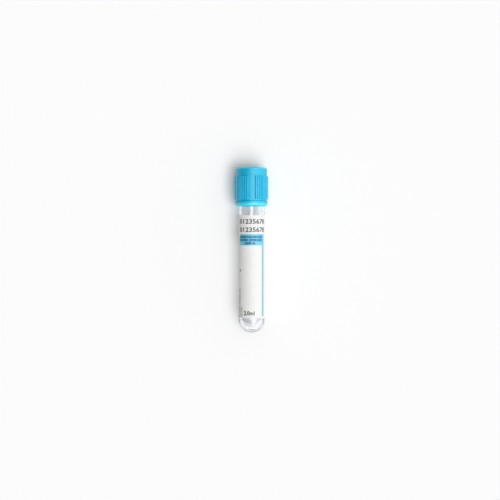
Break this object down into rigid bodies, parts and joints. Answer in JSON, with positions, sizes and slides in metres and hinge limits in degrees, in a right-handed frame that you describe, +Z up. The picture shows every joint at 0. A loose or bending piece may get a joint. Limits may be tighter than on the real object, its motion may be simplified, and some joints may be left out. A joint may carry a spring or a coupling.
{
  "type": "blood collection tube",
  "caption": "Clear round-ended plastic specimen tube on its side, with a wrap-round label and a light-blue ribbed safety cap over a rubber stopper.",
  "frame": {"origin": "on the bench under the tube's axis, halfway along the whole object", "axes": "+Y along the object from the tube's closed end to its cap, +Z up from the bench. The tube lies on its side, and its axis rises 1.52 degrees towards the cap"},
  "size_m": [0.0168, 0.0829, 0.0165],
  "materials": {
    "tube": "gloss",
    "label": "satin",
    "safety_cap": "satin",
    "stopper": "matte",
    "additive": "gloss"
  },
  "bodies": {
    "vessel": {"tube": "tube", "label": "label", "additive": "additive"},
    "closure": {"safety_cap": "safety_cap", "stopper": "stopper"}
  },
  "joints": [
    {"name": "closure_pull", "type": "slide", "parent": "vessel", "child": "closure", "axis": [0, 0.9996, 0.0266], "range_m": [0, 0.025]}
  ]
}
